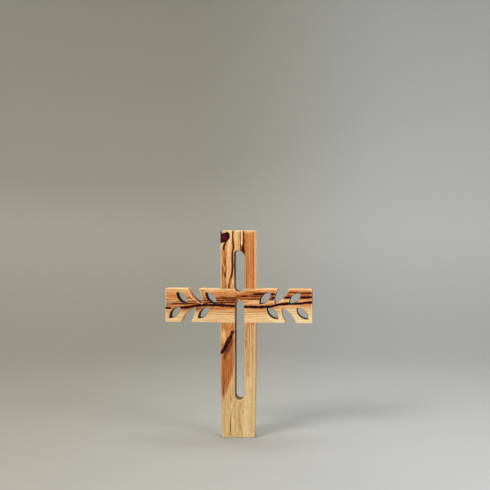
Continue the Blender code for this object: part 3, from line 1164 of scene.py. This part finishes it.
# Painted light and shade: the wall darker and warmer at the left, lighter and cooler at the right,
# the floor darker
WALL_WARM_PAINTED_SHADE = colour(177, 176, 163)
WALL_COOL_PAINTED_LIGHT = colour(205, 206, 206)
FLOOR_PAINTED_SHADE = 0.76
FLOOR_RISE = 0.25
WALL_BLEND = 0.30
STAGE_ROUGHNESS = 0.9
STAGE_SHEEN_LEVEL = 0.1

# Round lights aimed at the middle of the cross: place, size, watts and colour

LIGHTS = {
    "key_light": ((-0.55, -0.75, 0.85), 0.45, 9.0, (1.0, 0.97, 0.92)),
    "fill_light": ((0.66, -0.46, 0.48), 0.45, 3.2, (0.97, 0.98, 1.0)),
    "top_light": ((0.05, 0.15, 1.05), 0.50, 4.0, (1.0, 1.0, 1.0)),
    "back_light": ((-0.40, 0.80, 0.75), 0.50, 1.4, (1.0, 0.98, 0.95)),
}
AIR_COLOUR = (0.9, 0.92, 0.95, 1.0)
AIR_STRENGTH = 0.45


def studio_floor():
    """A round pale floor that sweeps up into a wall on all sides."""
    profile = [(0.0, 0.0)]
    flat = STAGE_RADIUS - STAGE_COVE_RADIUS
    for step in range(STAGE_COVE_STEPS + 1):
        angle = math.pi / 2 * step / STAGE_COVE_STEPS
        out = flat + STAGE_COVE_RADIUS * math.sin(angle)
        profile.append((out, STAGE_COVE_RADIUS * (1 - math.cos(angle))))
    profile.append((STAGE_RADIUS, STAGE_HEIGHT))
    mesh = bmesh.new()
    middle = mesh.verts.new((0.0, 0.0, 0.0))
    rings = []
    for out, up in profile[1:]:
        ring = []
        for turn in range(STAGE_TURNS):
            angle = 2 * math.pi * turn / STAGE_TURNS
            ring.append(mesh.verts.new((out * math.cos(angle), out * math.sin(angle), up)))
        rings.append(ring)
    for turn in range(STAGE_TURNS):
        after = (turn + 1) % STAGE_TURNS
        mesh.faces.new((middle, rings[0][turn], rings[0][after]))
        for ring, following in zip(rings, rings[1:]):
            mesh.faces.new((ring[turn], following[turn], following[after], ring[after]))
    data = bpy.data.meshes.new("studio_floor")
    mesh.to_mesh(data)
    mesh.free()
    data.shade_smooth()
    floor = bpy.data.objects.new("studio_floor", data)
    bpy.context.scene.collection.objects.link(floor)
    paint = bpy.data.materials.new("studio_paint")
    paint.use_nodes = True
    nodes = Nodes(paint)
    shader = paint.node_tree.nodes["Principled BSDF"]
    split = nodes.add("ShaderNodeSeparateXYZ")
    nodes.feed(split.inputs[0], nodes.add("ShaderNodeTexCoord").outputs["Object"])
    to_right, _, up = split.outputs
    # Painted light and shade: darker at the left, lighter at the right, and darker on the floor than
    # on the wall
    wall = nodes.mix(nodes.step(to_right, -WALL_BLEND, WALL_BLEND), WALL_WARM_PAINTED_SHADE, WALL_COOL_PAINTED_LIGHT)
    grey = nodes.shaded(wall, nodes.step(up, 0.0, FLOOR_RISE, FLOOR_PAINTED_SHADE, 1.0))
    nodes.feed(shader.inputs["Base Color"], grey)
    shader.inputs["Roughness"].default_value = STAGE_ROUGHNESS
    shader.inputs["Specular IOR Level"].default_value = STAGE_SHEEN_LEVEL
    data.materials.append(paint)


def round_light(name, place, size, power, shade):
    """A soft round light that is aimed at the middle of the cross and can't be seen itself."""
    data = bpy.data.lights.new(name, "AREA")
    data.shape = "DISK"
    data.size = size
    data.energy = power
    data.color = shade
    lamp = bpy.data.objects.new(name, data)
    lamp.location = place
    lamp.rotation_mode = "QUATERNION"
    from_cross = Vector(place) - Vector((0, 0, HEIGHT / 2))
    lamp.rotation_quaternion = from_cross.to_track_quat("Z", "Y")
    lamp.visible_camera = False
    bpy.context.scene.collection.objects.link(lamp)


def studio_lights():
    """The lights, an even pale light from all around, and colours shown as they are."""
    for name, settings in LIGHTS.items():
        round_light(name, *settings)
    world = bpy.data.worlds.new("studio_air")
    world.use_nodes = True
    air = world.node_tree.nodes["Background"]
    air.inputs["Color"].default_value = AIR_COLOUR
    air.inputs["Strength"].default_value = AIR_STRENGTH
    bpy.context.scene.world = world
    bpy.context.scene.view_settings.view_transform = "Standard"


def photograph_camera():
    """A level camera a little to the right of the cross, level with the wood above its slots."""
    data = bpy.data.cameras.new("camera")
    data.lens = LENS_MM
    data.sensor_width = SENSOR_MM
    camera = bpy.data.objects.new("camera", data)
    bpy.context.scene.collection.objects.link(camera)
    right = Vector((math.cos(CAMERA_AZIMUTH), math.sin(CAMERA_AZIMUTH), 0))
    back = Vector((math.sin(CAMERA_AZIMUTH), -math.cos(CAMERA_AZIMUTH), 0))
    up = Vector((0, 0, 1))
    front_middle = Vector((0, -HALF_THICKNESS, HEIGHT / 2))
    camera.location = (
        front_middle + right * CAMERA_TO_RIGHT + up * CAMERA_ABOVE_MIDDLE + back * CAMERA_DISTANCE
    )
    camera.rotation_euler = (math.pi / 2, 0, CAMERA_AZIMUTH)
    bpy.context.scene.camera = camera


# The whole scene

photograph_camera()
studio_floor()
studio_lights()

whole_cross = fine_board(softened(outline()), openings())

sawn_upright = sawn_piece("sawn_upright", whole_cross, crossbar_space(), upright_material())
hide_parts("upright")
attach(sawn_upright, "root")

sawn_crossbar = sawn_piece("sawn_crossbar", whole_cross, upright_space(), crossbar_material())
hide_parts("crossbar")
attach(sawn_crossbar, "root")
